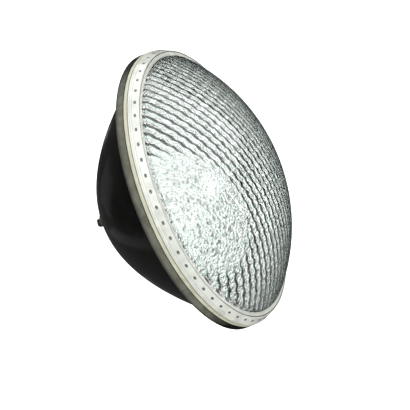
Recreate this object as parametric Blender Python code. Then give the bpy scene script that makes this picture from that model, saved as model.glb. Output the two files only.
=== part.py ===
"""Sealed-beam underwater pool lamp of PAR56 size, with two screw terminals.

The lamp faces -Y with +Z up. Its axis is the Y axis, and the origin is on that axis, in the plane
of the rim's back face, which seats in the pool niche. Outlines are (radius, y) pairs: negative y is
towards the water, positive y towards the terminals. All sizes are in metres.
"""

import math

import bmesh
import bpy
from mathutils import Vector

# Rim
FLANGE_DIAMETER = 0.1778  # 56 eighths of an inch
FLANGE_THICKNESS = 0.0052
SEAT_WIDTH = 0.0077  # radial width of the rim's flat back face
SEAL_THICKNESS = 0.0024
SEAL_WIDTH = 0.0074
EDGE_ROUND = 0.0007
FINE_ROUND = 0.00035  # on the edges of the small pieces

# Reflector bowl
BOWL_DEPTH = 0.0550  # from the rim's back face to the flat back of the bowl
BOWL_WALL = 0.0038  # measured along the radius, at the seat plane
BACK_FLAT_RADIUS = 0.0240
FLOOR_THICKNESS = 0.0040
FLOOR_INSET = 0.0004  # how much smaller the mirror's flat floor is than the flat back
SHOULDER_ROUND = 0.0060

# Lens
LENS_CROWN = 0.0339  # how far the dome rises in front of its own edge
LENS_THICKNESS = 0.0042
DOME_INSET = 0.0070  # from the flange's edge to the edge of the dome
DOME_STEP = 0.0018  # how far the dome's edge stands in front of the lip
SKIRT_HEIGHT = 0.0064
SKIRT_DRAFT = 0.0028
LIP_WIDTH = 0.0037

# Terminals
TERMINAL_PITCH = 0.0220
TERMINAL_CLOCK = math.radians(40.0)  # of the left terminal, above the horizontal
FERRULE_RADIUS = 0.0056
FERRULE_THICKNESS = 0.0009
FERRULE_ROUND = 0.00045
POST_RADIUS = 0.0035
POST_HEIGHT = 0.0032
SOLDER_WIDTH = 0.0010
SOLDER_HEIGHT = 0.0009
SOLDER_HOLLOW = 0.3  # where the fillet is hollowed to, as a share of its width and height
CLAMP_SIDE = 0.0072
CLAMP_THICKNESS = 0.0007
CLAMP_CORNER = 0.0009
LOCK_RADIUS = 0.0028
LOCK_THICKNESS = 0.0007
LOCK_SPLIT = math.radians(16.0)
SCREW_RADIUS = 0.0015  # M3
HEAD_RADIUS = 0.0028
HEAD_HEIGHT = 0.0024
HEAD_ROUND = 0.0013
SLOT_WIDTH = 0.0008
SLOT_DEPTH = 0.0013
THREAD_CHAMFER = 0.0003

# Filament mount
LEAD_RADIUS = 0.0010
BRIDGE_SETBACK = 0.0100  # from the filament's axis to the bridge's front face
BRIDGE_THICKNESS = 0.0045
BRIDGE_WIDTH = 0.0056
BRIDGE_OVERHANG = 0.0035  # past each lead's axis
FILAMENT_WIRE = 0.0003  # radius
COIL_RADIUS = 0.0014
COIL_TURNS = 8
COIL_PITCH = 0.0013
COIL_RUN_IN = 0.0008  # length over which the straight leg widens into the coil
CLAMP_LENGTH = 0.0036
CLAMP_WIDTH = 0.0030
SUPPORT_WIRE = 0.0004  # radius
SUPPORT_WRAP = math.radians(100.0)  # how far the hook reaches round the coil

# Exhaust tip
TIP_RADIUS = 0.0026
TIP_LENGTH = 0.0042
TIP_ROUND = 0.0021
EXHAUST_BORE = 0.0010  # radius

# Clearances
GAP = 0.0003  # between pieces that touch
STACK_GAP = 0.0002  # between the thin pieces clamped by a terminal screw
BORE_GAP = 0.0002  # round a wire or a screw in its hole

# Mesh fineness
BIG_STEPS = 64
SMALL_STEPS = 24
CURVE_POINTS = 10
FILLET_POINTS = 3
FILLET_SEGMENTS = 2  # of a bevelled edge
COIL_POINTS = 10  # per turn
HOOK_POINTS = 8
TINY_STEPS = 12
MERGE = 1e-6
SMOOTH_ANGLE = math.radians(32.0)
ROUND_PROFILE = 0.5  # makes a bevel circular

FLANGE_RADIUS = FLANGE_DIAMETER / 2
FLANGE_FRONT = -FLANGE_THICKNESS
SEAL_BACK = FLANGE_FRONT - GAP
SEAL_FRONT = SEAL_BACK - SEAL_THICKNESS
LENS_BASE = SEAL_FRONT - GAP
LIP_FRONT = LENS_BASE - SKIRT_HEIGHT
BOWL_RADIUS = FLANGE_RADIUS - SEAT_WIDTH
MIRROR_RADIUS = BOWL_RADIUS - BOWL_WALL
MIRROR_FLOOR = BOWL_DEPTH - FLOOR_THICKNESS
FLOOR_RADIUS = BACK_FLAT_RADIUS - FLOOR_INSET
MIRROR_SLOPE = (MIRROR_RADIUS**2 - FLOOR_RADIUS**2) / MIRROR_FLOOR
MIRROR_RIM_RADIUS = math.sqrt(MIRROR_RADIUS**2 - MIRROR_SLOPE * FLANGE_FRONT)
MIRROR_FOCAL_LENGTH = MIRROR_SLOPE / 4
FOCUS = MIRROR_RADIUS**2 / (4 * MIRROR_FOCAL_LENGTH) - MIRROR_FOCAL_LENGTH
DOME_RADIUS = FLANGE_RADIUS - DOME_INSET
DOME_EDGE = LIP_FRONT - DOME_STEP
LENS_CURVATURE = (DOME_RADIUS**2 + LENS_CROWN**2) / (2 * LENS_CROWN)  # radius of the outer face
DOME_CENTRE = DOME_EDGE - LENS_CROWN + LENS_CURVATURE

FERRULE_BACK = BOWL_DEPTH + GAP + FERRULE_THICKNESS
POST_FRONT = FERRULE_BACK + STACK_GAP
POST_BACK = POST_FRONT + POST_HEIGHT
CLAMP_FRONT = POST_BACK + STACK_GAP
LOCK_FRONT = CLAMP_FRONT + CLAMP_THICKNESS + STACK_GAP
HEAD_FRONT = LOCK_FRONT + LOCK_THICKNESS + STACK_GAP
SCREW_TIP = POST_FRONT
TERMINAL_RADIUS = TERMINAL_PITCH / 2
BRIDGE_FRONT = FOCUS + BRIDGE_SETBACK
THROUGH_FLOOR = (MIRROR_FLOOR - GAP, BOWL_DEPTH + GAP)  # the span of a hole in the bowl's floor


def clear_scene():
    for obj in list(bpy.data.objects):
        bpy.data.objects.remove(obj, do_unlink=True)


def material(name, colour, roughness, metallic=0.0, transmission=0.0):
    made = bpy.data.materials.new(name)
    made.use_nodes = True
    shader = made.node_tree.nodes["Principled BSDF"]
    shader.inputs["Base Color"].default_value = (*colour, 1.0)
    shader.inputs["Roughness"].default_value = roughness
    shader.inputs["Metallic"].default_value = metallic
    shader.inputs["Transmission Weight"].default_value = transmission
    made.diffuse_color = (*colour, 1.0)
    return made


def add_object(name, data, surface, parent=None, location=(0.0, 0.0, 0.0)):
    obj = bpy.data.objects.new(name, data)
    data.materials.append(surface)
    obj.location = location
    obj.parent = parent
    bpy.context.scene.collection.objects.link(obj)
    return obj


def mesh_from(bm, name):
    """Closes the bmesh and returns it as a smooth-shaded mesh with its faces pointing out."""
    bmesh.ops.remove_doubles(bm, verts=bm.verts, dist=MERGE)
    bmesh.ops.recalc_face_normals(bm, faces=bm.faces)
    mesh = bpy.data.meshes.new(name)
    bm.to_mesh(mesh)
    bm.free()
    mesh.shade_smooth()
    mesh.set_sharp_from_angle(angle=SMOOTH_ANGLE)
    return mesh


def arc_through(corner, before, after, fillet):
    """The points of a fillet between the corner's two neighbours."""
    to_before = (before - corner).normalized()
    to_after = (after - corner).normalized()
    half = to_before.angle(to_after) / 2
    centre = corner + (to_before + to_after).normalized() * (fillet / math.sin(half))
    start = corner + to_before * (fillet / math.tan(half)) - centre
    end = corner + to_after * (fillet / math.tan(half)) - centre
    shares = [step / FILLET_POINTS for step in range(FILLET_POINTS + 1)]
    return [centre + start.slerp(end, share) * fillet for share in shares]


def rounded(corners):
    """The outline through (radius, y) corners, where a third number rounds that corner off."""
    points = [Vector(corner[:2]) for corner in corners]
    outline = []
    for index, corner in enumerate(corners):
        if len(corner) == 2:
            outline.append(points[index])
            continue
        before = points[index - 1]
        after = points[(index + 1) % len(points)]
        outline += arc_through(points[index], before, after, corner[2])
    return outline


def turned(name, outline, surface, steps=SMALL_STEPS, **place):
    """A solid turned about the Y axis. An outline that starts on the axis also ends on it."""
    bm = bmesh.new()
    verts = [bm.verts.new((point[0], point[1], 0.0)) for point in outline]
    on_axis = outline[0][0] < MERGE
    ends = zip(verts, verts[1:] if on_axis else verts[1:] + verts[:1])
    edges = [bm.edges.new(pair) for pair in ends]
    bmesh.ops.spin(
        bm,
        geom=verts + edges,
        cent=(0.0, 0.0, 0.0),
        axis=(0.0, 1.0, 0.0),
        angle=2 * math.pi,
        steps=steps,
        use_merge=True,
    )
    return add_object(name, mesh_from(bm, name), surface, **place)


def cut(target, cutter):
    """Takes the cutter's shape out of the target and hides the cutter."""
    cutter.hide_render = True
    cutter.display_type = "WIRE"
    boolean = target.modifiers.new(cutter.name, "BOOLEAN")
    boolean.operation = "DIFFERENCE"
    boolean.object = cutter


def bore(target, name, radius, span, parent, x=0.0):
    """A hole along Y through the target, over the span of y, in the parent's frame."""
    start, end = span
    outline = [(0.0, start), (radius, start), (radius, end), (0.0, end)]
    surface = target.data.materials[0]
    cut(target, turned(name, outline, surface, parent=parent, location=(x, 0.0, 0.0)))


def round_edges(bm, edges, offset, segments):
    bmesh.ops.bevel(
        bm,
        geom=edges,
        offset=offset,
        segments=segments,
        affect="EDGES",
        profile=ROUND_PROFILE,
    )


def block(name, size, surface, bevel=0.0, **place):
    """A box centred on its own origin, with its edges rounded by bevel."""
    bm = bmesh.new()
    bmesh.ops.create_cube(bm, size=1.0)
    bmesh.ops.scale(bm, vec=size, verts=bm.verts)
    if bevel:
        round_edges(bm, bm.edges, bevel, FILLET_SEGMENTS)
    return add_object(name, mesh_from(bm, name), surface, **place)


def wire(name, points, radius, surface, sides=1, **place):
    """A round wire along the points, with flat ends."""
    curve = bpy.data.curves.new(name, "CURVE")
    curve.dimensions = "3D"
    curve.bevel_depth = radius
    curve.bevel_resolution = sides
    curve.use_fill_caps = True
    spline = curve.splines.new("POLY")
    spline.points.add(len(points) - 1)
    for point, target in zip(spline.points, points):
        point.co = (*target, 1.0)
    return add_object(name, curve, surface, **place)


def turn_from_axis(name, angle, distance=0.0):
    """An empty whose own +X points away from the lamp's axis, at the angle from the world's +X."""
    empty = bpy.data.objects.new(name, None)
    empty.rotation_euler = (0.0, angle, 0.0)
    empty.location = (distance * math.cos(angle), 0.0, -distance * math.sin(angle))
    bpy.context.scene.collection.objects.link(empty)
    return empty


def parabola(rim_radius, floor_radius, floor_y, start_y):
    """Points from the floor's edge up to start_y, on the parabola through the seat-plane radius."""
    slope = (rim_radius**2 - floor_radius**2) / floor_y
    start_radius = math.sqrt(rim_radius**2 - slope * start_y)
    points = []
    for step in range(CURVE_POINTS):
        share = step / (CURVE_POINTS - 1)
        radius = floor_radius + (start_radius - floor_radius) * share
        points.append((radius, (rim_radius**2 - radius**2) / slope))
    return points


def dome(radius, edge_radius):
    """Points on a sphere about the dome's centre, from the lamp's axis out to the edge."""
    edge_angle = math.asin(edge_radius / radius)
    points = []
    for step in range(CURVE_POINTS):
        angle = edge_angle * step / (CURVE_POINTS - 1)
        points.append((radius * math.sin(angle), DOME_CENTRE - radius * math.cos(angle)))
    return points


def make_reflector(glass):
    """The pressed glass bowl: mirror parabola inside, rim flange, flat back with three holes."""
    mirror = parabola(MIRROR_RADIUS, FLOOR_RADIUS, MIRROR_FLOOR, FLANGE_FRONT)
    back = parabola(BOWL_RADIUS, BACK_FLAT_RADIUS, BOWL_DEPTH, 0.0)
    corners = [(0.0, MIRROR_FLOOR)]
    corners += mirror
    corners += [
        (FLANGE_RADIUS, FLANGE_FRONT, EDGE_ROUND),
        (FLANGE_RADIUS, 0.0, EDGE_ROUND),
    ]
    corners += back[:0:-1]
    corners += [(*back[0], SHOULDER_ROUND), (0.0, BOWL_DEPTH)]
    bowl = turned("reflector_bowl", rounded(corners), glass, BIG_STEPS)
    bore(bowl, "exhaust_hole_cutter", EXHAUST_BORE, THROUGH_FLOOR, None)
    return bowl


def make_rim_seal(cement):
    outer = FLANGE_RADIUS
    inner = FLANGE_RADIUS - SEAL_WIDTH
    corners = [
        (inner, SEAL_BACK),
        (inner, SEAL_FRONT),
        (outer, SEAL_FRONT, EDGE_ROUND),
        (outer, SEAL_BACK, EDGE_ROUND),
    ]
    turned("rim_seal", rounded(corners), cement, BIG_STEPS)


def make_lens(glass):
    """The clear pressed lens: a thick skirt that stands on the seal, a flat lip and the dome."""
    skirt_front = FLANGE_RADIUS - SKIRT_DRAFT
    corners = dome(LENS_CURVATURE - LENS_THICKNESS, MIRROR_RIM_RADIUS)
    corners += [
        (MIRROR_RIM_RADIUS, LENS_BASE),
        (FLANGE_RADIUS, LENS_BASE, EDGE_ROUND),
        (skirt_front, LIP_FRONT, EDGE_ROUND),
        (skirt_front - LIP_WIDTH, LIP_FRONT),
    ]
    corners += dome(LENS_CURVATURE, DOME_RADIUS)[::-1]
    turned("lens", rounded(corners), glass, BIG_STEPS)


def make_exhaust_tip(glass):
    """The glass tube through which the lamp was emptied, melted shut at its end."""
    front = BOWL_DEPTH + GAP
    back = front + TIP_LENGTH
    corners = [
        (0.0, front),
        (TIP_RADIUS, front, FINE_ROUND),
        (TIP_RADIUS, back, TIP_ROUND),
        (0.0, back),
    ]
    turned("exhaust_tip", rounded(corners), glass)


def make_ferrule(side, terminal, metal):
    front = BOWL_DEPTH + GAP
    corners = [
        (0.0, front),
        (FERRULE_RADIUS, front),
        (FERRULE_RADIUS, FERRULE_BACK, FERRULE_ROUND),
        (0.0, FERRULE_BACK),
    ]
    turned(f"ferrule_{side}", rounded(corners), metal, parent=terminal)


def make_post(side, terminal, brass, solder):
    """The threaded post on the ferrule, and the solder that runs round its foot."""
    hole = SCREW_RADIUS + BORE_GAP
    corners = [
        (hole, POST_FRONT),
        (POST_RADIUS, POST_FRONT),
        (POST_RADIUS, POST_BACK, FINE_ROUND),
        (hole, POST_BACK),
    ]
    turned(f"terminal_post_{side}", rounded(corners), brass, parent=terminal)
    inner = POST_RADIUS + BORE_GAP
    corners = [
        (inner, POST_FRONT),
        (inner + SOLDER_WIDTH, POST_FRONT),
        (inner + SOLDER_WIDTH * SOLDER_HOLLOW, POST_FRONT + SOLDER_HEIGHT * SOLDER_HOLLOW),
        (inner, POST_FRONT + SOLDER_HEIGHT),
    ]
    turned(f"solder_joint_{side}", corners, solder, parent=terminal)


def make_clamp_washer(side, terminal, brass):
    """The square washer that presses the wire onto the post."""
    bm = bmesh.new()
    bmesh.ops.create_cube(bm, size=1.0)
    bmesh.ops.scale(bm, vec=(CLAMP_SIDE, CLAMP_THICKNESS, CLAMP_SIDE), verts=bm.verts)
    upright = [e for e in bm.edges if abs(e.verts[0].co.y - e.verts[1].co.y) > MERGE]
    round_edges(bm, upright, CLAMP_CORNER, FILLET_POINTS)
    name = f"clamp_washer_{side}"
    middle = CLAMP_FRONT + CLAMP_THICKNESS / 2
    washer = add_object(name, mesh_from(bm, name), brass, terminal, (0.0, middle, 0.0))
    span = (CLAMP_FRONT - GAP, LOCK_FRONT + GAP)
    bore(washer, f"clamp_hole_cutter_{side}", SCREW_RADIUS + BORE_GAP, span, terminal)


def make_lock_washer(side, terminal, steel):
    """The split spring ring under the screw's head."""
    inner = SCREW_RADIUS + BORE_GAP
    section = [(inner, 0.0), (LOCK_RADIUS, 0.0), (LOCK_RADIUS, LOCK_THICKNESS), (inner, LOCK_THICKNESS)]
    bm = bmesh.new()
    verts = [bm.verts.new((radius, y, 0.0)) for radius, y in section]
    face = bm.faces.new(verts)
    bmesh.ops.spin(
        bm,
        geom=[face],
        cent=(0.0, 0.0, 0.0),
        axis=(0.0, 1.0, 0.0),
        angle=2 * math.pi - LOCK_SPLIT,
        steps=SMALL_STEPS,
    )
    name = f"lock_washer_{side}"
    add_object(name, mesh_from(bm, name), steel, terminal, (0.0, LOCK_FRONT, 0.0))


def make_screw(side, terminal, steel):
    """A slotted pan-head screw whose origin is on its own axis, under the head."""
    tip = SCREW_TIP - HEAD_FRONT
    corners = [
        (0.0, tip),
        (SCREW_RADIUS - THREAD_CHAMFER, tip),
        (SCREW_RADIUS, tip + THREAD_CHAMFER),
        (SCREW_RADIUS, 0.0),
        (HEAD_RADIUS, 0.0),
        (HEAD_RADIUS, HEAD_HEIGHT, HEAD_ROUND),
        (0.0, HEAD_HEIGHT),
    ]
    place = {"parent": terminal, "location": (0.0, HEAD_FRONT, 0.0)}
    screw = turned(f"terminal_screw_{side}", rounded(corners), steel, **place)
    size = (3 * HEAD_RADIUS, 2 * SLOT_DEPTH, SLOT_WIDTH)
    top = (0.0, HEAD_FRONT + HEAD_HEIGHT, 0.0)
    cut(screw, block(f"slot_cutter_{side}", size, steel, parent=terminal, location=top))


def make_lead_rod(side, terminal, nickel):
    """The stiff rod from the ferrule, through the bowl's floor, to the filament's clamp."""
    points = [(0.0, BOWL_DEPTH, 0.0), (0.0, FOCUS + CLAMP_WIDTH / 2 + GAP, 0.0)]
    wire(f"lead_rod_{side}", points, LEAD_RADIUS, nickel, sides=4, parent=terminal)


def make_filament_clamp(side, terminal, nickel):
    """The folded sleeve that grips the filament's leg at the lead's tip."""
    size = (CLAMP_LENGTH, CLAMP_WIDTH, CLAMP_WIDTH)
    place = {"parent": terminal, "location": (0.0, FOCUS, 0.0)}
    clamp = block(f"filament_clamp_{side}", size, nickel, bevel=FINE_ROUND, **place)
    half = CLAMP_LENGTH / 2 + GAP
    hole = FILAMENT_WIRE + BORE_GAP
    outline = [(0.0, -half), (hole, -half), (hole, half), (0.0, half)]
    cutter = turned(f"leg_hole_cutter_{side}", outline, nickel, TINY_STEPS, **place)
    cutter.rotation_euler = (0.0, 0.0, math.pi / 2)
    cut(clamp, cutter)


def make_filament(mount, tungsten):
    """A straight leg through each clamp, with the coil between them centred on the focus."""
    leg_end = TERMINAL_RADIUS + CLAMP_LENGTH / 2
    half_coil = COIL_TURNS * COIL_PITCH / 2
    points = [(-leg_end, FOCUS, 0.0), (-half_coil - COIL_RUN_IN, FOCUS, 0.0)]
    for step in range(COIL_TURNS * COIL_POINTS + 1):
        angle = 2 * math.pi * step / COIL_POINTS
        along = -half_coil + COIL_PITCH * step / COIL_POINTS
        points.append((along, FOCUS + COIL_RADIUS * math.cos(angle), COIL_RADIUS * math.sin(angle)))
    points += [(half_coil + COIL_RUN_IN, FOCUS, 0.0), (leg_end, FOCUS, 0.0)]
    wire("filament", points, FILAMENT_WIRE, tungsten, parent=mount)


def make_bridge(mount, ceramic):
    """The ceramic bar that keeps the two leads apart."""
    length = TERMINAL_PITCH + 2 * BRIDGE_OVERHANG
    size = (length, BRIDGE_THICKNESS, BRIDGE_WIDTH)
    middle = BRIDGE_FRONT + BRIDGE_THICKNESS / 2
    place = {"parent": mount, "location": (0.0, middle, 0.0)}
    bridge = block("ceramic_bridge", size, ceramic, bevel=EDGE_ROUND, **place)
    span = (BRIDGE_FRONT - GAP, BRIDGE_FRONT + BRIDGE_THICKNESS + GAP)
    for side, x in (("left", TERMINAL_RADIUS), ("right", -TERMINAL_RADIUS)):
        bore(bridge, f"bridge_hole_cutter_{side}", LEAD_RADIUS + BORE_GAP, span, mount, x)


def make_support(mount, molybdenum):
    """The thin wire that stands on the bridge and hooks round the middle of the coil."""
    reach = COIL_RADIUS + FILAMENT_WIRE + SUPPORT_WIRE + GAP
    points = [(0.0, BRIDGE_FRONT - GAP, 0.0)]
    for step in range(HOOK_POINTS + 1):
        angle = SUPPORT_WRAP * step / HOOK_POINTS
        points.append((0.0, FOCUS + reach * math.cos(angle), reach * math.sin(angle)))
    wire("filament_support", points, SUPPORT_WIRE, molybdenum, parent=mount)


def make_terminal(side, angle, bowl, finish):
    """Everything that is on one terminal's axis, from the screw in to the filament's clamp."""
    terminal = turn_from_axis(f"terminal_axis_{side}", angle, TERMINAL_RADIUS)
    bore(bowl, f"lead_hole_cutter_{side}", LEAD_RADIUS + BORE_GAP, THROUGH_FLOOR, terminal)
    make_ferrule(side, terminal, finish["nickel_iron"])
    make_post(side, terminal, finish["brass"], finish["solder"])
    make_clamp_washer(side, terminal, finish["brass"])
    make_lock_washer(side, terminal, finish["steel"])
    make_screw(side, terminal, finish["steel"])
    make_lead_rod(side, terminal, finish["nickel"])
    make_filament_clamp(side, terminal, finish["nickel"])


def finishes():
    return {
        "clear_glass": material("clear_glass", (0.93, 0.97, 0.95), 0.05, transmission=0.9),
        "black_glass": material("black_glass", (0.012, 0.012, 0.012), 0.08),
        "cement": material("cement", (0.86, 0.85, 0.78), 0.5),
        "nickel_iron": material("nickel_iron", (0.30, 0.30, 0.29), 0.4, metallic=1.0),
        "brass": material("brass", (0.14, 0.11, 0.06), 0.4, metallic=1.0),
        "solder": material("solder", (0.55, 0.56, 0.58), 0.4, metallic=1.0),
        "steel": material("steel", (0.03, 0.03, 0.03), 0.4, metallic=1.0),
        "nickel": material("nickel", (0.62, 0.60, 0.56), 0.3, metallic=1.0),
        "tungsten": material("tungsten", (0.28, 0.28, 0.30), 0.45, metallic=1.0),
        "molybdenum": material("molybdenum", (0.40, 0.40, 0.42), 0.4, metallic=1.0),
        "ceramic": material("ceramic", (0.85, 0.84, 0.80), 0.7),
    }


def main():
    clear_scene()
    finish = finishes()
    make_lens(finish["clear_glass"])
    make_rim_seal(finish["cement"])
    bowl = make_reflector(finish["black_glass"])
    make_exhaust_tip(finish["black_glass"])
    left = math.pi + TERMINAL_CLOCK
    make_terminal("left", left, bowl, finish)
    make_terminal("right", left - math.pi, bowl, finish)
    mount = turn_from_axis("filament_mount", left)
    make_filament(mount, finish["tungsten"])
    make_bridge(mount, finish["ceramic"])
    make_support(mount, finish["molybdenum"])


main()
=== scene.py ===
"""Looks of the sealed-beam pool lamp: fluted glass lens, mirrored black bowl, rim and terminals.

Everything is in metres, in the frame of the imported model: the lamp's axis is the Y axis, the lens
faces -Y, and the origin is in the plane of the rim's back face.
"""

import math

import bmesh
import bpy
from mathutils import Matrix, Vector, noise


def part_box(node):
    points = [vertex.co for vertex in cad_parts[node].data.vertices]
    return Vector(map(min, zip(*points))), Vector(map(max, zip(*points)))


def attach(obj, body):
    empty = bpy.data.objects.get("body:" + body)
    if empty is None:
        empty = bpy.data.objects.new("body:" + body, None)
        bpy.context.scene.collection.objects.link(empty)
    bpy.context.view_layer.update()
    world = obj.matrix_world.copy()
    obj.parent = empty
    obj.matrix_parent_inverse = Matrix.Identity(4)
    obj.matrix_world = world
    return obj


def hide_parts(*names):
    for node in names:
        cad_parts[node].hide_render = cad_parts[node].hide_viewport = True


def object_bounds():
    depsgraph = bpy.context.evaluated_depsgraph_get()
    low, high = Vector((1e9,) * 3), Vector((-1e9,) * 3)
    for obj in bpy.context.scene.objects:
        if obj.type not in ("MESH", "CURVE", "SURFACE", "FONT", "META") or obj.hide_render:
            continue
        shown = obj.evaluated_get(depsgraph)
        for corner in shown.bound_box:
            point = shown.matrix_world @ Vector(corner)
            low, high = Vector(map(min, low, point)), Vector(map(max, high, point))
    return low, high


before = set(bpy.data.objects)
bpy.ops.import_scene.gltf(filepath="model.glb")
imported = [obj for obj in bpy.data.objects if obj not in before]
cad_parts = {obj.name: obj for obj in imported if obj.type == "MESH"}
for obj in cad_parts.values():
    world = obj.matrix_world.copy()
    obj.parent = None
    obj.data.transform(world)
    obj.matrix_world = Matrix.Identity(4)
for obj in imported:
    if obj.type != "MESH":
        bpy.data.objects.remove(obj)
CAD_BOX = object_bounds()

MM = 0.001

# Meshes
BIG_STEPS = 192  # round the bowl
FILLET_POINTS = 5
SHARP_ANGLE = math.radians(35)  # edges steeper than this stay sharp
MERGE_DISTANCE = 1e-7

# Places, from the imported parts
BOWL_LOW, BOWL_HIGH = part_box("reflector_bowl")
LENS_LOW, LENS_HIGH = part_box("lens")
RIM_RADIUS = BOWL_HIGH.x
FLANGE_FRONT = BOWL_LOW.y
BOWL_BACK = BOWL_HIGH.y
LENS_BASE = LENS_HIGH.y
LENS_APEX = LENS_LOW.y
LEFT_AXIS = (sum(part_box("terminal_screw_left"), Vector()) / 2).xz
RIGHT_AXIS = (sum(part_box("terminal_screw_right"), Vector()) / 2).xz

# Lens
LIP_FRONT = LENS_BASE - 6.4 * MM
SKIRT_DRAFT = 2.8 * MM
LIP_WIDTH = 3.7 * MM
DOME_RADIUS = RIM_RADIUS - 7.0 * MM
DOME_EDGE = LIP_FRONT - 1.8 * MM
CROWN = DOME_EDGE - LENS_APEX
CURVATURE = (DOME_RADIUS**2 + CROWN**2) / (2 * CROWN)
DOME_CENTRE = LENS_APEX + CURVATURE
GLASS_THICKNESS = 4.2 * MM
FACE_RADIUS = DOME_RADIUS - 1.0 * MM  # of the fluted inner face
FACE_CURVATURE = CURVATURE - GLASS_THICKNESS
FACE_SHARP_ANGLE = math.radians(40)
OUTER_RINGS = 36

# Flutes
PITCH = 5.0 * MM
FLUTE_SEGMENTS = 8
FLUTE_ROUND = 3.3 * MM  # radius of one flute's rod-like face
CELL = 6.5 * MM  # length of the pillows that each flute is broken into
CELL_DEPTH = 0.08 * MM
WOBBLE = 0.42 * MM
WOBBLE_FADE = 8  # the power by which the wobble dies out towards both ends of a flute
PHASE_STEP = 0.45
ROWS = 220
END_MARGIN = 0.6 * MM  # left free at both sides of the face, for finer columns
END_COLUMNS = 5
END_STEP = 1.7  # degrees round the face's edge from one finer column to the next
COLUMN_SPACE = 0.15 * MM
PATCH = (-60 * MM, 12 * MM)  # the middle of the part with hardly any flutes
PATCH_SIZE = (26 * MM, 44 * MM)
PATCH_FLUTES = 0.08
PATCH_CORE = 0.55  # share of its size that is plain
PATCH_FADE = 0.6
STIPPLE = 0.10 * MM
STIPPLE_SIZE = 1.7 * MM
STIPPLE_DENSITY = 1.7

# Skirt
SKIRT_STEPS = 336
SKIRT_GAP = 0.25 * MM  # to the dome
SKIRT_BACK_ROUND = 0.5 * MM
SKIRT_FRONT_ROUND = 0.4 * MM
LIP_ROUND = 0.3 * MM
SKIRT_GROOVES = (0.16, 0.36)  # shares of its height
GROOVE_WIDTH = 0.6 * MM
GROOVE_DEPTH = 0.3 * MM
LIP_LINE = 0.9 * MM  # from the lip's outer edge to the middle of its groove
LIP_FALL = 0.9 * MM  # how far the lip falls back where it meets the dome
LIP_FLATNESS = 0.05 * MM  # what lies deeper than this is sunk and gets the painted shade
DIMPLES = 56
DIMPLE_PLACE = 0.68
DIMPLE_RADIUS = 0.95 * MM
DIMPLE_STRETCH = 1.6
DIMPLE_SETTING = 0.45  # how far a ball's middle stands out of the skirt, as a share of its radius

# Bowl
PAINTED_HIGHLIGHT_SIDE = (-0.92, 0.0, 0.39)  # the side of the rim's edge where the painted highlight is
BOWL_RADIUS = RIM_RADIUS - 7.7 * MM
BOWL_WALL = 3.8 * MM
BACK_FLAT = 24.0 * MM
BOWL_RINGS = 28
FLOOR_THICKNESS = 4.0 * MM
FLOOR_INSET = 0.4 * MM  # of the mirror's floor, within the flat back
RIM_ROUND = 0.7 * MM
SHOULDER_ROUND = 6.0 * MM
MIRROR_OVERLAP = 4 * MM  # how far past the mirror's rim its coating may reach
EDGE_DEPTH = 1.2 * MM  # of the finish on the rim's edge, inwards
LEAD_HOLE = 1.2 * MM  # radius
EXHAUST_HOLE = 1.0 * MM
HOLE_STEPS = 24

# Terminals
FITTING_STEPS = 64
FERRULE_RADIUS = 5.6 * MM
FERRULE_ROUND = 0.45 * MM
FERRULE_LIP = 0.9 * MM
FERRULE_DISH = 0.1 * MM
POST_RADIUS = 3.5 * MM
POST_BORE = 1.7 * MM
POST_ROUND = 0.35 * MM
POST_BORE_ROUND = 0.2 * MM
SOLDER_GAP = 0.2 * MM
SOLDER_WIDTH = 1.0 * MM
SOLDER_POINTS = 8
SCREW_RADIUS = 1.5 * MM
HEAD_RADIUS = 2.8 * MM
HEAD_HEIGHT = 2.4 * MM
HEAD_ROUND = 1.3 * MM
HEAD_BACK_ROUND = 0.15 * MM
SLOT_WIDTH = 0.8 * MM
SLOT_DEPTH = 1.3 * MM
THREAD_PITCH = 0.5 * MM
THREAD_DEPTH = 0.28 * MM
THREAD_ROWS = 8  # per turn
TIP_CHAMFER = 0.3 * MM
TIP_RADIUS = 2.6 * MM
TIP_ROUND = 2.1 * MM
TIP_FOOT_ROUND = 0.35 * MM
TIP_RINGS = (0.2, 0.3, 0.4)  # extra rings of points for the melted surface, as shares of its length
MELT_DEPTH = 0.6 * MM
MELT_SIZE = 2 * MM

# Studio
FLOOR_LEVEL = CAD_BOX[0].z - 60 * MM
FLOOR_HALF = 8.0
CARD_LEVEL = FLOOR_LEVEL + MM
GREY_CARD_LEVEL = CARD_LEVEL + MM
SKY_COLOUR = (0.80, 0.82, 0.81)
SKY_STRENGTH = 2.9

# Camera
AZIMUTH = math.radians(-64.2)
ELEVATION = math.radians(21.3)
ROLL = math.radians(31.2)
DISTANCE = 1.5
TARGET = Vector((-3.0, -2.3, -9.7)) * MM
FOCAL_LENGTH = 216.3  # in millimetres, as Blender's cameras have it
SENSOR_WIDTH = 36.0


# ---------------------------------------------------------------- meshes


def add_piece(name, mesh, replaces, body="lamp", materials=()):
    """Links the mesh as a piece that rides on the body, in place of the CAD nodes it stands for."""
    piece = bpy.data.objects.new(name, mesh)
    for surface in materials:
        mesh.materials.append(surface)
    bpy.context.scene.collection.objects.link(piece)
    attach(piece, body)
    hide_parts(*replaces)
    return piece


def finish_mesh(name, verts, faces):
    """A smooth mesh from the points and faces, with its seams closed and its normals out."""
    mesh = bpy.data.meshes.new(name)
    mesh.from_pydata(verts, [], faces)
    bm = bmesh.new()
    bm.from_mesh(mesh)
    bmesh.ops.remove_doubles(bm, verts=bm.verts, dist=MERGE_DISTANCE)
    loose = [edge for edge in bm.edges if edge.is_wire]
    bmesh.ops.delete(bm, geom=loose, context="EDGES")
    bmesh.ops.recalc_face_normals(bm, faces=bm.faces)
    bm.to_mesh(mesh)
    bm.free()
    mesh.shade_smooth()
    mesh.set_sharp_from_angle(angle=SHARP_ANGLE)
    return mesh


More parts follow.
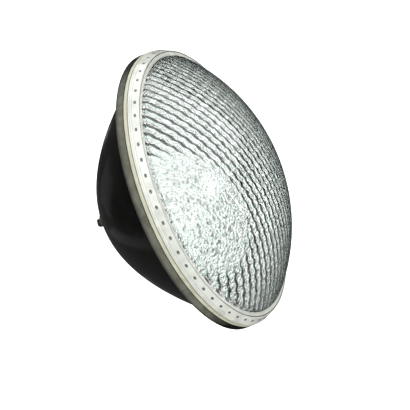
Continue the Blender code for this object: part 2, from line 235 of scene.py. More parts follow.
def fillet(corner, before, after, radius):
    """Points on an arc that rounds the corner off between its two neighbours."""
    to_before = (before - corner).normalized()
    to_after = (after - corner).normalized()
    half = to_before.angle(to_after) / 2
    centre = corner + (to_before + to_after).normalized() * (radius / math.sin(half))
    start = corner + to_before * (radius / math.tan(half)) - centre
    end = corner + to_after * (radius / math.tan(half)) - centre
    shares = [step / FILLET_POINTS for step in range(FILLET_POINTS + 1)]
    return [centre + start.slerp(end, share) * radius for share in shares]


def outline(corners):
    """Points through (radius, y) corners. A third number rounds that corner off."""
    points = [Vector(corner[:2]) for corner in corners]
    made = []
    for index, corner in enumerate(corners):
        if len(corner) == 2:
            made.append(points[index])
            continue
        after = points[(index + 1) % len(points)]
        made += fillet(points[index], points[index - 1], after, corner[2])
    return made


def lathe(name, profile, steps=BIG_STEPS, centre=(0.0, 0.0), relief=None):
    """Turns (radius, y) points about a line along Y. The relief takes its depth off each radius."""
    verts, faces = [], []
    count = len(profile)
    for step in range(steps):
        angle = 2 * math.pi * step / steps
        for radius, y in profile:
            depth = relief(y, angle) if relief else 0.0
            reach = max(radius - depth, 0.0)
            verts.append((centre[0] + reach * math.cos(angle), y, centre[1] + reach * math.sin(angle)))
    for step in range(steps):
        here, there = step * count, (step + 1) % steps * count
        for index in range(count):
            beyond = (index + 1) % count
            faces.append((here + index, here + beyond, there + beyond, there + index))
    return finish_mesh(name, verts, faces)


def sphere_y(radius, distance):
    """Where a sphere about the dome's centre is, at that distance from the lamp's axis."""
    return DOME_CENTRE - math.sqrt(max(radius**2 - distance**2, 0.0))


def parabola(rim, floor_radius, floor_y, start_y):
    """(radius, y) points of a parabola that has the rim's radius at y = 0 and ends at the floor."""
    slope = (rim**2 - floor_radius**2) / floor_y
    start = math.sqrt(rim**2 - slope * start_y)
    made = []
    for step in range(BOWL_RINGS):
        radius = floor_radius + (start - floor_radius) * step / (BOWL_RINGS - 1)
        made.append((radius, (rim**2 - radius**2) / slope))
    return made


# ---------------------------------------------------------------- materials


class Look:
    """A material with a Principled shader and short calls for the nodes that feed it."""

    def __init__(self, name, colour, roughness, metallic=0.0, **sockets):
        self.material = bpy.data.materials.new(name)
        self.material.use_nodes = True
        self.tree = self.material.node_tree
        self.shader = self.tree.nodes["Principled BSDF"]
        self.set("Base Color", (*colour, 1.0))
        self.set("Roughness", roughness)
        self.set("Metallic", metallic)
        for socket, value in sockets.items():
            self.set(socket.replace("_", " "), value)

    def set(self, socket, value):
        self.shader.inputs[socket].default_value = value

    def node(self, kind, **settings):
        made = self.tree.nodes.new(f"ShaderNode{kind}")
        for key, value in settings.items():
            setattr(made, key, value)
        return made

    def link(self, source, target):
        self.tree.links.new(source, target)

    def coordinates(self):
        return self.node("TexCoord").outputs["Object"]

    def noise(self, size, detail=2.0, rough=0.5):
        """Noise whose features are about size across."""
        made = self.node("TexNoise")
        made.inputs["Scale"].default_value = 1 / size
        made.inputs["Detail"].default_value = detail
        made.inputs["Roughness"].default_value = rough
        self.link(self.coordinates(), made.inputs["Vector"])
        return made.outputs["Fac"]

    def voronoi(self, size, feature):
        """The distance to the middle of the nearest of cells that are about size across."""
        made = self.node("TexVoronoi", feature=feature)
        made.inputs["Scale"].default_value = 1 / size
        self.link(self.coordinates(), made.inputs["Vector"])
        return made.outputs["Distance"]

    def ramp(self, source, *stops):
        """A colour ramp with (position, value or colour) stops."""
        made = self.node("ValToRGB")
        band = made.color_ramp
        while len(band.elements) < len(stops):
            band.elements.new(1.0)
        for element, (position, colour) in zip(band.elements, stops):
            if isinstance(colour, float):
                colour = (colour, colour, colour)
            element.position = position
            element.color = (*colour, 1.0)
        self.link(source, made.inputs["Fac"])
        return made.outputs["Color"]

    def math(self, operation, first, second):
        made = self.node("Math", operation=operation)
        for socket, value in zip(made.inputs, (first, second)):
            if isinstance(value, (int, float)):
                socket.default_value = value
            else:
                self.link(value, socket)
        return made.outputs[0]

    def range(self, source, low, high):
        """The source's 0..1 moved to low..high."""
        made = self.node("MapRange")
        made.inputs["To Min"].default_value = low
        made.inputs["To Max"].default_value = high
        self.link(source, made.inputs["Value"])
        return made.outputs["Result"]

    def mix(self, factor, first, second, blend="MIX"):
        made = self.node("Mix", data_type="RGBA", blend_type=blend)
        colours = (made.inputs[6], made.inputs[7])  # A and B, in the colour version of the node
        for socket, value in zip((made.inputs["Factor"], *colours), (factor, first, second)):
            if isinstance(value, float):
                socket.default_value = value
            elif isinstance(value, tuple):
                socket.default_value = (*value, 1.0)
            else:
                self.link(value, socket)
        return made.outputs[2]

    def colour(self, source):
        self.link(source, self.shader.inputs["Base Color"])

    def roughness(self, source, low, high):
        self.link(self.range(source, low, high), self.shader.inputs["Roughness"])

    def bump(self, height, distance, strength=1.0):
        made = self.node("Bump")
        made.inputs["Distance"].default_value = distance
        made.inputs["Strength"].default_value = strength
        self.link(height, made.inputs["Height"])
        self.link(made.outputs["Normal"], self.shader.inputs["Normal"])


def fluted_glass():
    """The inner face of the lens: clear, with a fine hammered grain. Painted shade darkens it along the
    grooves, standing in for the dark lines their refraction gives.
    """
    look = Look("fluted_glass", (0.93, 0.97, 0.95), 0.05, IOR=1.5, Transmission_Weight=1.0)
    groove = look.node("Attribute", attribute_name="groove").outputs["Fac"]
    cell = look.voronoi(STIPPLE_SIZE, "SMOOTH_F1")
    plain = look.node("Attribute", attribute_name="plain").outputs["Fac"]
    clear, green, dark = (0.96, 1.0, 0.98), (0.40, 0.56, 0.48), (0.0, 0.0, 0.0)
    # Painted shade: the glass's colour goes green, then black, towards the middle of each groove.
    groove_shade_tint = look.ramp(groove, (0.44, clear), (0.54, green), (0.62, dark))
    # The plain patch is dimmed to 0.72 of the glass's colour.
    dull = look.ramp(plain, (0.0, 1.0), (1.0, 0.72))
    # Painted shade: specks darken the sunk edges of the hammered cells, fully in the plain patch and
    # partly on the flutes.
    cell_edge_shade = look.ramp(cell, (0.45, 1.0), (0.66, 0.20))
    cell_edge_shade = look.mix(look.range(plain, 0.40, 1.0), clear, cell_edge_shade)
    groove_shade_tint = look.mix(1.0, groove_shade_tint, dull, "MULTIPLY")
    look.colour(look.mix(1.0, groove_shade_tint, cell_edge_shade, "MULTIPLY"))
    look.roughness(look.noise(1.1 * MM, detail=1.0), 0.0, 0.05)
    look.bump(look.math("MULTIPLY", cell, -1.0), 1.0 * MM, 1.0)
    return look.material


def clear_glass():
    """The dome's smooth outside. Its colour goes dark where it is seen at a slant: painted shade,
    standing in for the dark outline that refraction gives the dome's edge.
    """
    look = Look("clear_glass", (0.98, 0.995, 0.985), 0.06, IOR=1.5, Transmission_Weight=1.0)
    slant = look.node("LayerWeight")
    slant.inputs["Blend"].default_value = 0.5
    # Painted shade at the dome's outline: near black where the surface is seen edge-on.
    edge = ((0.50, (0.98, 0.995, 0.985)), (0.70, (0.38, 0.41, 0.39)), (0.88, (0.02, 0.03, 0.025)))
    look.colour(look.ramp(slant.outputs["Facing"], *edge))
    look.roughness(look.noise(9 * MM), 0.02, 0.07)
    look.bump(look.noise(14 * MM, detail=1.0), 0.10 * MM, 0.35)
    return look.material


def skirt_glass():
    """Thick moulded glass, made opaque and off-white so that it looks full of light."""
    look = Look("skirt_glass", (0.93, 0.93, 0.90), 0.12, IOR=1.5, Coat_Weight=0.6)
    cloud = look.noise(7 * MM, detail=3.0)
    look.colour(look.ramp(cloud, (0.3, (0.30, 0.305, 0.28)), (0.7, (0.40, 0.40, 0.37))))
    look.roughness(look.noise(2.5 * MM), 0.08, 0.25)
    look.bump(look.noise(3 * MM), 0.1 * MM, 0.4)
    return look.material


def dimple_shade():
    """Painted shade for a pressed mark or a sunk line in the glass: a dark colour on the faces of the
    recess.
    """
    look = Look("dimple_shade", (0.22, 0.23, 0.21), 0.2, Coat_Weight=0.5)
    look.colour(look.ramp(look.noise(0.8 * MM), (0.3, (0.02, 0.025, 0.02)), (0.8, (0.12, 0.13, 0.11))))
    return look.material


def mirror_coating():
    """The metal deposited inside the bowl."""
    look = Look("mirror_coating", (0.95, 0.96, 0.95), 0.15, metallic=1.0)
    look.colour(look.ramp(look.noise(20 * MM), (0.3, (0.93, 0.94, 0.93)), (0.7, (0.97, 0.98, 0.97))))
    look.roughness(look.noise(4 * MM), 0.10, 0.20)
    look.bump(look.noise(10 * MM), 0.15 * MM, 0.3)
    return look.material


def black_glass():
    """The bowl's outside: black enamel on glass, glossy, with a slight orange peel and dust."""
    look = Look("black_glass", (0.002, 0.002, 0.002), 0.1, Specular_IOR_Level=0.22)
    dust = look.noise(6 * MM, detail=6.0, rough=0.7)
    look.colour(look.ramp(dust, (0.45, (0.001, 0.001, 0.001)), (0.8, (0.004, 0.004, 0.003))))
    look.roughness(dust, 0.08, 0.2)
    look.bump(look.noise(5 * MM), 0.1 * MM, 0.25)
    return look.material


def flange_edge():
    """The rim's ground edge, under the bowl's black enamel, with a painted highlight: olive grey on one
    side, standing in for a soft light's reflection there, and fading towards the rim's back face.
    """
    look = Look("flange_edge", (0.10, 0.098, 0.08), 0.35, Specular_IOR_Level=0.06)
    streak = look.noise(5 * MM, detail=4.0)
    painted_highlight = look.ramp(streak, (0.3, (0.05, 0.048, 0.038)), (0.7, (0.082, 0.08, 0.064)))
    # Painted highlight: olive grey on the side towards the highlight direction, black elsewhere.
    towards = look.node("VectorMath", operation="DOT_PRODUCT")
    look.link(look.coordinates(), towards.inputs[0])
    towards.inputs[1].default_value = Vector(PAINTED_HIGHLIGHT_SIDE) / RIM_RADIUS
    place = look.math("ADD", towards.outputs["Value"], look.math("MULTIPLY", streak, 0.2))
    highlight_side = look.ramp(place, (0.50, 0.0), (0.80, 1.0))
    # The painted highlight fades towards the rim's back face.
    depth = look.node("SeparateXYZ")
    look.link(look.coordinates(), depth.inputs[0])
    front = look.math("DIVIDE", depth.outputs["Y"], FLANGE_FRONT)
    front = look.ramp(front, (0.05, 0.25), (0.45, 1.0))
    shown = look.mix(1.0, highlight_side, front, "MULTIPLY")
    look.colour(look.mix(shown, (0.004, 0.004, 0.004), painted_highlight))
    look.roughness(streak, 0.25, 0.5)
    look.bump(look.noise(1.5 * MM), 0.06 * MM, 0.4)
    return look.material


def rim_cement():
    """The cream sealing cement between the two glass rims."""
    look = Look("rim_cement_cream", (0.86, 0.83, 0.70), 0.45)
    patch = look.noise(4 * MM, detail=4.0)
    look.colour(look.ramp(patch, (0.3, (0.225, 0.217, 0.16)), (0.7, (0.30, 0.295, 0.225))))
    look.roughness(patch, 0.35, 0.6)
    look.bump(look.noise(0.9 * MM), 0.08 * MM, 0.5)
    return look.material


def metal(name, dark, light, low, high, size=1.5 * MM):
    """A metal whose colour and polish vary over its surface."""
    look = Look(name, light, low, metallic=1.0)
    stain = look.noise(size, detail=5.0, rough=0.6)
    look.colour(look.ramp(stain, (0.35, dark), (0.7, light)))
    look.roughness(stain, low, high)
    look.bump(look.noise(size / 4), 0.02 * MM, 0.4)
    return look.material


def ceramic_white():
    """Unglazed steatite."""
    look = Look("ceramic_white", (0.82, 0.80, 0.75), 0.6)
    grain = look.noise(0.7 * MM, detail=4.0)
    look.colour(look.ramp(grain, (0.3, (0.72, 0.70, 0.64)), (0.7, (0.86, 0.85, 0.80))))
    look.roughness(grain, 0.5, 0.75)
    look.bump(grain, 0.04 * MM, 0.5)
    return look.material


# ---------------------------------------------------------------- lens


def flute_strength(x, z):
    """1 where the flutes are full, falling in the plain stippled patch on the lens's near side."""
    away = math.hypot((x - PATCH[0]) / PATCH_SIZE[0], (z - PATCH[1]) / PATCH_SIZE[1])
    share = min(max((away - PATCH_CORE) / PATCH_FADE, 0.0), 1.0)
    return PATCH_FLUTES + (1 - PATCH_FLUTES) * share * share * (3 - 2 * share)


def face_columns():
    """(x, place across its flute, flute) of each column of the fluted face, from left to right."""
    found = []
    flutes = int(FACE_RADIUS / PITCH) + 1
    for flute in range(-flutes, flutes + 1):
        for segment in range(FLUTE_SEGMENTS):
            across = segment / FLUTE_SEGMENTS
            x = (flute + across) * PITCH
            if abs(x) < FACE_RADIUS - END_MARGIN:
                found.append((x, across, flute))
    for step in range(END_COLUMNS):
        x = FACE_RADIUS * math.cos(math.radians(END_STEP * step))
        for side in (-x, x):
            if all(abs(side - other[0]) > COLUMN_SPACE for other in found):
                place = side / PITCH
                found.append((side, place - math.floor(place), math.floor(place)))
    return sorted(found)


def face_height(x, z, across, flute):
    """How far the face stands towards the bowl at a point: flute, pillow and stipple."""
    half = PITCH / 2
    off = (across - 0.5) * PITCH
    rod = math.sqrt(FLUTE_ROUND**2 - off**2) - math.sqrt(FLUTE_ROUND**2 - half**2)
    turn = math.pi * (z / CELL + PHASE_STEP * flute / math.pi)
    pillow = CELL_DEPTH * abs(math.cos(turn)) * (1 - (2 * off / PITCH) ** 2)
    spot = noise.noise(Vector((x, z, 0.0)) / STIPPLE_SIZE * STIPPLE_DENSITY)
    return (rod + pillow) * flute_strength(x, z) + STIPPLE * spot


def face_points():
    """The fluted inner face: its points, how deep in a groove and how plain each is, and columns."""
    verts, grooves, plain, grid = [], [], [], []
    for x, across, flute in face_columns():
        reach = math.sqrt(max(FACE_RADIUS**2 - x**2, 0.0))
        line = []
        rows = ROWS if reach > 1e-6 else 0
        for row in range(rows + 1):
            z = reach * (2 * row / rows - 1) if rows else 0.0
            share = 1 - (2 * row / rows - 1) ** WOBBLE_FADE if rows else 0.0
            wave = math.sin(2 * math.pi * z / CELL + PHASE_STEP * flute * 2)
            swing = WOBBLE * wave * share * min(1.0, (FACE_RADIUS - abs(x)) / PITCH)
            distance = min(math.hypot(x + swing, z), FACE_RADIUS)
            y = sphere_y(FACE_CURVATURE, distance) + face_height(x, z, across, flute)
            line.append(len(verts))
            verts.append((x + swing, y, z))
            strength = flute_strength(x, z)
            # This groove value is also the mask of the painted shade along the grooves.
            grooves.append(abs(2 * across - 1) * strength)
            plain.append(1 - strength)
        grid.append(line)
    return verts, grooves, plain, grid


def span_columns(grid):
    """Faces between each column and the next. A column may be a single point."""
    faces = []
    for left, right in zip(grid, grid[1:]):
        if len(left) == 1:
            faces += [(left[0], right[row], right[row + 1]) for row in range(ROWS)]
        elif len(right) == 1:
            faces += [(left[row + 1], left[row], right[0]) for row in range(ROWS)]
        else:
            for row in range(ROWS):
                faces.append((left[row], right[row], right[row + 1], left[row + 1]))
    return faces


def outer_profile():
    """(radius, y) points of the dome's outside, from its foot in the skirt to near the apex."""
    profile = [(FACE_RADIUS, LENS_BASE), (DOME_RADIUS, LENS_BASE)]
    edge_angle = math.asin(DOME_RADIUS / CURVATURE)
    for step in range(OUTER_RINGS):
        angle = edge_angle * (1 - step / OUTER_RINGS)
        profile.append((CURVATURE * math.sin(angle), DOME_CENTRE - CURVATURE * math.cos(angle)))
    return profile


def close_outside(verts, faces, rim):
    """Adds the smooth outside to the verts and faces, from the inner face's rim to the apex."""
    before = rim
    for radius, y in outer_profile():
        ring = []
        for index in rim:
            x, _, z = verts[index]
            scale = radius / math.hypot(x, z)
            ring.append(len(verts))
            verts.append((x * scale, y, z * scale))
        for step in range(len(rim)):
            beyond = (step + 1) % len(rim)
            faces.append((before[step], before[beyond], ring[beyond], ring[step]))
        before = ring
    apex = len(verts)
    verts.append((0.0, LENS_APEX, 0.0))
    for step in range(len(rim)):
        faces.append((before[step], before[(step + 1) % len(rim)], apex))


def make_lens_dome(inside, outside):
    """A clear dome, smooth outside and fluted inside, closed by the foot that stands in the skirt."""
    verts, grooves, plain, grid = face_points()
    faces = span_columns(grid)
    inner_faces = len(faces)
    close_outside(verts, faces, [line[-1] for line in grid] + [line[0] for line in grid[-2:0:-1]])
    smooth = [0.0] * (len(verts) - len(grooves))
    mesh = bpy.data.meshes.new("lens_dome")
    mesh.from_pydata(verts, [], faces)
    mesh.attributes.new("groove", "FLOAT", "POINT").data.foreach_set("value", grooves + smooth)
    mesh.attributes.new("plain", "FLOAT", "POINT").data.foreach_set("value", plain + smooth)
    bm = bmesh.new()
    bm.from_mesh(mesh)
    bmesh.ops.recalc_face_normals(bm, faces=bm.faces)
    bm.to_mesh(mesh)
    bm.free()
    mesh.materials.append(inside)
    mesh.materials.append(outside)
    for polygon in mesh.polygons:
        polygon.material_index = 0 if polygon.index < inner_faces else 1
    mesh.shade_smooth()
    mesh.set_sharp_from_angle(angle=FACE_SHARP_ANGLE)
    add_piece("lens_dome", mesh, ["lens"])


def skirt_profile():
    """The skirt's section: drafted side with two fine moulded grooves, then the flat lip."""
    front = RIM_RADIUS - SKIRT_DRAFT
    inner = DOME_RADIUS + SKIRT_GAP
    height = LENS_BASE - LIP_FRONT
    side = []
    for share in SKIRT_GROOVES:
        for across, depth in ((-1, 0.0), (0, 1.0), (1, 0.0)):
            place = share + across * GROOVE_WIDTH / 2 / height
            radius = RIM_RADIUS - SKIRT_DRAFT * place - GROOVE_DEPTH * depth
            side.append((radius, LENS_BASE - height * place))
    return outline(
        [
            (inner, LENS_BASE),
            (RIM_RADIUS, LENS_BASE, SKIRT_BACK_ROUND),
            *side,
            (front, LIP_FRONT, SKIRT_FRONT_ROUND),
            (front - LIP_LINE + GROOVE_WIDTH / 2, LIP_FRONT),
            (front - LIP_LINE, LIP_FRONT + GROOVE_DEPTH),
            (front - LIP_LINE - GROOVE_WIDTH / 2, LIP_FRONT),
            (front - LIP_WIDTH, LIP_FRONT, LIP_ROUND),
            (inner, LIP_FRONT + LIP_FALL),
        ]
    )


def cut(piece, tools, material=None):
    """Takes the tools' shapes out of the piece. Their faces keep the material, if there is one."""
    mesh = bpy.data.meshes.new("cutter")
    tools.to_mesh(mesh)
    tools.free()
    if material:
        mesh.materials.append(material)
    cutter = bpy.data.objects.new("cutter", mesh)
    bpy.context.scene.collection.objects.link(cutter)
    boolean = piece.modifiers.new("cut", "BOOLEAN")
    boolean.object = cutter
    boolean.material_mode = "TRANSFER" if material else "INDEX"
    made = bpy.data.meshes.new_from_object(piece.evaluated_get(bpy.context.evaluated_depsgraph_get()))
    made.name = piece.name
    piece.modifiers.clear()
    piece.data = made
    made.set_sharp_from_angle(angle=SHARP_ANGLE)
    bpy.data.objects.remove(cutter)


def dimple_balls():
    """A ring of balls, drawn out along the skirt, that press its dimples."""
    ball = bmesh.new()
    height = LENS_BASE - LIP_FRONT
    y = LENS_BASE - height * DIMPLE_PLACE
    radius = RIM_RADIUS - SKIRT_DRAFT * DIMPLE_PLACE + DIMPLE_RADIUS * DIMPLE_SETTING
    for step in range(DIMPLES):
        angle = 2 * math.pi * (step + 0.5) / DIMPLES
        place = Vector((radius * math.cos(angle), y, radius * math.sin(angle)))
        turn = Matrix.Rotation(-angle, 4, "Y") @ Matrix.Diagonal((1.0, 1.0, DIMPLE_STRETCH, 1.0))
        shape = Matrix.Translation(place) @ turn
        bmesh.ops.create_icosphere(ball, subdivisions=2, radius=DIMPLE_RADIUS, matrix=shape)
    return ball


def make_lens_skirt(glass, shade):
    """The thick ring round the dome, with its flat lip and a row of oval dimples."""
    mesh = lathe("lens_skirt", skirt_profile(), SKIRT_STEPS)
    skirt = add_piece("lens_skirt", mesh, ["lens"], materials=[glass, shade])
    front = RIM_RADIUS - SKIRT_DRAFT
    # The lip's sunk groove and its fall to the dome get the painted shade, and so do the dimples,
    # through the cut below.
    for polygon in mesh.polygons:
        centre = polygon.center
        inward = front - math.hypot(centre.x, centre.z)
        sunk = centre.y - LIP_FRONT > LIP_FLATNESS
        if sunk and centre.y < LIP_FRONT + LIP_FALL and inward > LIP_LINE - GROOVE_WIDTH / 2:
            polygon.material_index = 1
    cut(skirt, dimple_balls(), shade)


# ---------------------------------------------------------------- bowl and rim


def drill_floor(bowl):
    """The holes in the bowl's floor for the two leads and the exhaust tube."""
    drills = bmesh.new()
    middle = BOWL_BACK - FLOOR_THICKNESS / 2
    lay = Matrix.Rotation(math.radians(90), 4, "X")
    holes = ((LEFT_AXIS, LEAD_HOLE), (RIGHT_AXIS, LEAD_HOLE), (Vector((0, 0)), EXHAUST_HOLE))
    for place, radius in holes:
        bmesh.ops.create_cone(
            drills,
            cap_ends=True,
            segments=HOLE_STEPS,
            radius1=radius,
            radius2=radius,
            depth=3 * FLOOR_THICKNESS,
            matrix=Matrix.Translation((place[0], middle, place[1])) @ lay,
        )
    cut(bowl, drills)


def make_bowl(enamel, mirror, edge):
    """The reflector: enamelled outside, mirrored inside, with a material of its own on the rim's edge
    that carries a painted highlight.
    """
    mirror_rim = BOWL_RADIUS - BOWL_WALL
    floor = BOWL_BACK - FLOOR_THICKNESS
    inside = parabola(mirror_rim, BACK_FLAT - FLOOR_INSET, floor, FLANGE_FRONT)
    outside = parabola(BOWL_RADIUS, BACK_FLAT, BOWL_BACK, 0.0)
    corners = [(0.0, floor)]
    corners += inside
    corners += [(RIM_RADIUS, FLANGE_FRONT, RIM_ROUND), (RIM_RADIUS, 0.0, RIM_ROUND)]
    corners += outside[:0:-1]
    corners += [(*outside[0], SHOULDER_ROUND), (0.0, BOWL_BACK)]
    mesh = lathe("reflector", outline(corners))
    mesh.materials.append(enamel)
    mesh.materials.append(mirror)
    mesh.materials.append(edge)
    for polygon in mesh.polygons:
        centre = polygon.center
        radius = math.hypot(centre.x, centre.z)
        inward = Vector((-centre.x, -0.5 * radius, -centre.z))
        if polygon.normal.dot(inward) > 0 and radius < mirror_rim + MIRROR_OVERLAP:
            polygon.material_index = 1
        if radius > RIM_RADIUS - EDGE_DEPTH:
            polygon.material_index = 2
    bowl = add_piece("reflector_glass", mesh, ["reflector_bowl"])
    drill_floor(bowl)


# ---------------------------------------------------------------- terminals


def thread(start, end):
    """The relief of a right-hand thread that runs out at both ends."""

    def relief(y, angle):
        fade = min((y - start) / THREAD_PITCH, (end - y) / THREAD_PITCH, 1.0)
        turn = (y / THREAD_PITCH + angle / (2 * math.pi)) % 1.0
        return THREAD_DEPTH * abs(2 * turn - 1) * max(fade, 0.0)

    return relief


def melted(start, end):
    """The relief of glass that was pinched off hot: uneven, more so towards its end."""

    def relief(y, angle):
        place = Vector((math.cos(angle), math.sin(angle), y / MELT_SIZE))
        return MELT_DEPTH * (noise.noise(place) + 1) / 2 * (y - start) / (end - start)

    return relief


def span(node):
    """The y of the front and the back of a CAD node."""
    low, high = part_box(node)
    return low.y, high.y


def terminal_axis(side):
    return LEFT_AXIS if side == "left" else RIGHT_AXIS


def add_fitting(kind, profile, side, body, finish, relief=None):
    """A turned piece on a terminal's axis, in place of the CAD node of that kind and side."""
    node = f"{kind}_{side}"
    mesh = lathe(f"turned_{node}", outline(profile), FITTING_STEPS, terminal_axis(side), relief)
    return add_piece(mesh.name, mesh, [node], body, [finish[kind]])


def cut_slot(screw, side, top):
    """The slot across a screw's head, which points away from the lamp's axis."""
    x, z = terminal_axis(side)
    size = Matrix.Diagonal((3 * HEAD_RADIUS, 2 * SLOT_DEPTH, SLOT_WIDTH, 1.0))
    turn = Matrix.Rotation(math.atan2(-z, x), 4, "Y")
    place = Matrix.Translation((x, top, z)) @ turn @ size
    slot = bmesh.new()
    bmesh.ops.create_cube(slot, size=1.0, matrix=place)
    cut(screw, slot)


def make_screw(side, finish):
    """A slotted pan-head screw with its thread."""
    tip, top = span(f"terminal_screw_{side}")
    head = top - HEAD_HEIGHT
    shank = head - tip - TIP_CHAMFER
    rows = round(shank / THREAD_PITCH * THREAD_ROWS)
    profile = [(0.0, tip), (SCREW_RADIUS - THREAD_DEPTH, tip)]
    profile += [(SCREW_RADIUS, tip + TIP_CHAMFER + shank * row / rows) for row in range(rows + 1)]
    profile += [(HEAD_RADIUS, head, HEAD_BACK_ROUND), (HEAD_RADIUS, top, HEAD_ROUND), (0.0, top)]
    relief = thread(tip, head)
    screw = add_fitting("terminal_screw", profile, side, f"screw_{side}", finish, relief)
    cut_slot(screw, side, top)


def make_ferrule(side, finish):
    """The cap over a lead hole, with a raised lip round its back."""
    front, back = span(f"ferrule_{side}")
    dish = FERRULE_RADIUS - FERRULE_LIP - FERRULE_DISH
    profile = [(0.0, front), (FERRULE_RADIUS, front), (FERRULE_RADIUS, back, FERRULE_ROUND)]
    profile += [(FERRULE_RADIUS - FERRULE_LIP, back), (dish, back - FERRULE_DISH)]
    profile += [(0.0, back - FERRULE_DISH)]
    add_fitting("ferrule", profile, side, "lamp", finish)


def make_post(side, finish):
    front, back = span(f"terminal_post_{side}")
    profile = [(POST_BORE, front), (POST_RADIUS, front)]
    profile += [(POST_RADIUS, back, POST_ROUND), (POST_BORE, back, POST_BORE_ROUND)]
    add_fitting("terminal_post", profile, side, "lamp", finish)


def make_solder(side, finish):
    """The hollow fillet of solder round a post's foot."""
    front, back = span(f"solder_joint_{side}")
    inner = POST_RADIUS + SOLDER_GAP
    profile = [(inner, front)]
    for step in range(SOLDER_POINTS + 1):
        angle = math.radians(90 * step / SOLDER_POINTS)
        radius = inner + SOLDER_WIDTH * (1 - math.sin(angle))
        profile.append((radius, back - (back - front) * math.cos(angle)))
    add_fitting("solder_joint", profile, side, "lamp", finish)


def make_exhaust_tip(finish):
    """The exhaust tube's end, melted shut."""
    front, back = span("exhaust_tip")
    profile = [(0.0, front), (TIP_RADIUS, front, TIP_FOOT_ROUND)]
    profile += [(TIP_RADIUS, front + (back - front) * share) for share in TIP_RINGS]
    profile += [(TIP_RADIUS, back, TIP_ROUND), (0.0, back)]
    mesh = lathe("melted_tip", outline(profile), FITTING_STEPS, relief=melted(front, back))
    surface = [finish["exhaust_tip"]]
    add_piece("melted_tip", mesh, ["exhaust_tip"], materials=surface)


def make_fittings(finish):
    for side in ("left", "right"):
        make_screw(side, finish)
        make_ferrule(side, finish)
        make_post(side, finish)
        make_solder(side, finish)
    make_exhaust_tip(finish)


def finishes():
    """The material of each kind of CAD node or fitting."""
    return {
        "rim_seal": rim_cement(),
        "exhaust_tip": black_glass(),
        "filament": metal("tungsten", (0.20, 0.20, 0.22), (0.42, 0.42, 0.45), 0.35, 0.6),
        "filament_support": metal("molybdenum", (0.30, 0.30, 0.31), (0.50, 0.50, 0.52), 0.3, 0.5),
        "ceramic_bridge": ceramic_white(),
        "ferrule": metal("ferrule_metal", (0.30, 0.29, 0.28), (0.62, 0.61, 0.58), 0.28, 0.5),
        "terminal_post": metal("post_bronze", (0.018, 0.015, 0.01), (0.06, 0.048, 0.03), 0.3, 0.5),
        "solder_joint": metal("solder_grey", (0.38, 0.39, 0.41), (0.66, 0.67, 0.69), 0.25, 0.5),
        "clamp_washer": metal("washer_bronze", (0.018, 0.015, 0.01), (0.06, 0.048, 0.03), 0.3, 0.5),
        "lock_washer": metal("spring_steel", (0.02, 0.02, 0.02), (0.10, 0.10, 0.10), 0.3, 0.5),
        "terminal_screw": metal("black_steel", (0.006, 0.006, 0.006), (0.05, 0.05, 0.05), 0.3, 0.5),
        "lead_rod": metal("nickel_rod", (0.48, 0.46, 0.42), (0.70, 0.68, 0.63), 0.2, 0.4),
        "filament_clamp": metal("nickel_sleeve", (0.42, 0.40, 0.37), (0.66, 0.64, 0.60), 0.25, 0.45),
    }


def dress_cad_nodes(finish):
    """Gives each CAD node that still shows its own finish."""
    for name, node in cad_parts.items():
        kind = name.removesuffix("_left").removesuffix("_right")
        if kind not in finish:
            continue
        for material_slot in node.material_slots:
            material_slot.link = "OBJECT"
            material_slot.material = finish[kind]


# ---------------------------------------------------------------- studio


def make_floor():
    mesh = bpy.data.meshes.new("floor")
    far = FLOOR_HALF
    corners = [(x, y, FLOOR_LEVEL) for x, y in ((-far, -far), (far, -far), (far, far), (-far, far))]
    mesh.from_pydata(corners, [], [(0, 1, 2, 3)])
    look = Look("pale_floor", (0.9, 0.9, 0.9), 0.9)
    look.colour(look.ramp(look.noise(0.4, detail=2.0), (0.3, 0.90), (0.7, 0.92)))
    mesh.materials.append(look.material)
    floor = bpy.data.objects.new("floor", mesh)
    bpy.context.scene.collection.objects.link(floor)


def add_light(name, place, size, power):
    """A round area light that shines at the origin."""
    light = bpy.data.lights.new(name, "AREA")
    light.shape = "DISK"
    light.size = size
    light.energy = power
    lamp = bpy.data.objects.new(name, light)
    lamp.location = place
    lamp.rotation_mode = "QUATERNION"
    lamp.rotation_quaternion = (-Vector(place)).to_track_quat("-Z", "Y")
    bpy.context.scene.collection.objects.link(lamp)


def add_card(name, low, high, shade):
    """A card, hidden from the camera, that only changes what the gloss reflects. It lies or stands."""
    mesh = bpy.data.meshes.new(name)
    if low[2] == high[2]:
        corners = [low, (high[0], low[1], low[2]), high, (low[0], high[1], low[2])]
    else:
        corners = [low, (high[0], high[1], low[2]), high, (low[0], low[1], high[2])]
    mesh.from_pydata(corners, [], [(0, 1, 2, 3)])
    look = Look(name, (shade, shade, shade), 0.9)
    mesh.materials.append(look.material)
    card = bpy.data.objects.new(name, mesh)
    card.visible_camera = False
    card.visible_shadow = False
    card.visible_diffuse = False
    card.visible_transmission = False
    bpy.context.scene.collection.objects.link(card)


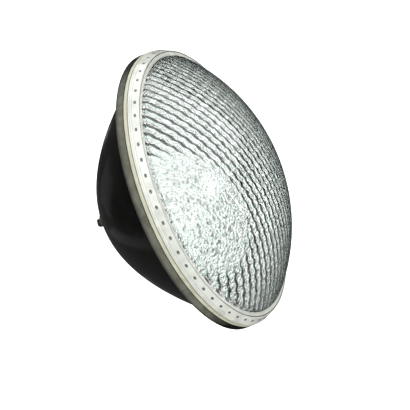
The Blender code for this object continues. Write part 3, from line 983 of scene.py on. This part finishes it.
def make_lights():
    world = bpy.data.worlds.new("studio")
    bpy.context.scene.world = world
    world.use_nodes = True
    shade = world.node_tree.nodes["Background"]
    shade.inputs["Color"].default_value = (*SKY_COLOUR, 1.0)
    shade.inputs["Strength"].default_value = SKY_STRENGTH
    add_light("key", (-0.9, -1.1, 1.6), 1.2, 8.0)
    add_light("front_core", (0.10, -1.2, -0.05), 0.10, 0.35)
    add_light("front_halo", (0.10, -1.21, -0.05), 0.30, 0.9)


def make_cards():
    """Dark cards for the glass's edges, and grey ones for the soft patches on the bowl."""
    low, raised = CARD_LEVEL, GREY_CARD_LEVEL
    add_card("card_front", (-0.9, -0.9, low), (1.2, 0.0, low), 0.01)
    add_card("card_floor", (-0.4, 0.0, low), (1.2, 1.0, low), 0.01)
    add_card("card_back", (-0.9, 1.0, low), (1.6, 1.0, 0.45), 0.01)
    add_card("card_right", (1.2, -0.9, low), (1.2, 0.9, 0.7), 0.01)
    add_card("card_left", (-1.7, -0.9, low), (-1.7, 0.9, 0.7), 0.01)
    add_card("grey_near", (0.12, 0.08, raised), (0.34, 0.22, raised), 0.05)
    add_card("grey_strip", (-0.10, 0.50, raised), (0.30, 0.75, raised), 0.06)
    add_card("grey_window", (0.34, 0.9, -0.13), (0.64, 0.9, 0.12), 0.05)


def make_camera():
    level = math.cos(ELEVATION)
    back = Vector((math.sin(AZIMUTH) * level, -math.cos(AZIMUTH) * level, math.sin(ELEVATION)))
    camera = bpy.data.objects.new("camera", bpy.data.cameras.new("camera"))
    camera.data.lens = FOCAL_LENGTH
    camera.data.sensor_width = SENSOR_WIDTH
    camera.data.clip_start, camera.data.clip_end = 0.05, 50.0
    camera.location = TARGET + back * DISTANCE
    camera.rotation_mode = "QUATERNION"
    turn = Matrix.Rotation(-ROLL, 3, back)
    upright = (-back).to_track_quat("-Z", "Y").to_matrix()
    camera.rotation_quaternion = (turn @ upright).to_quaternion()
    bpy.context.scene.collection.objects.link(camera)
    bpy.context.scene.camera = camera


def main():
    scene = bpy.context.scene
    scene.view_settings.view_transform = "Standard"
    scene.view_settings.look = "None"
    make_lens_dome(fluted_glass(), clear_glass())
    make_lens_skirt(skirt_glass(), dimple_shade())
    make_bowl(black_glass(), mirror_coating(), flange_edge())
    finish = finishes()
    make_fittings(finish)
    dress_cad_nodes(finish)
    make_floor()
    make_lights()
    make_cards()
    make_camera()


main()
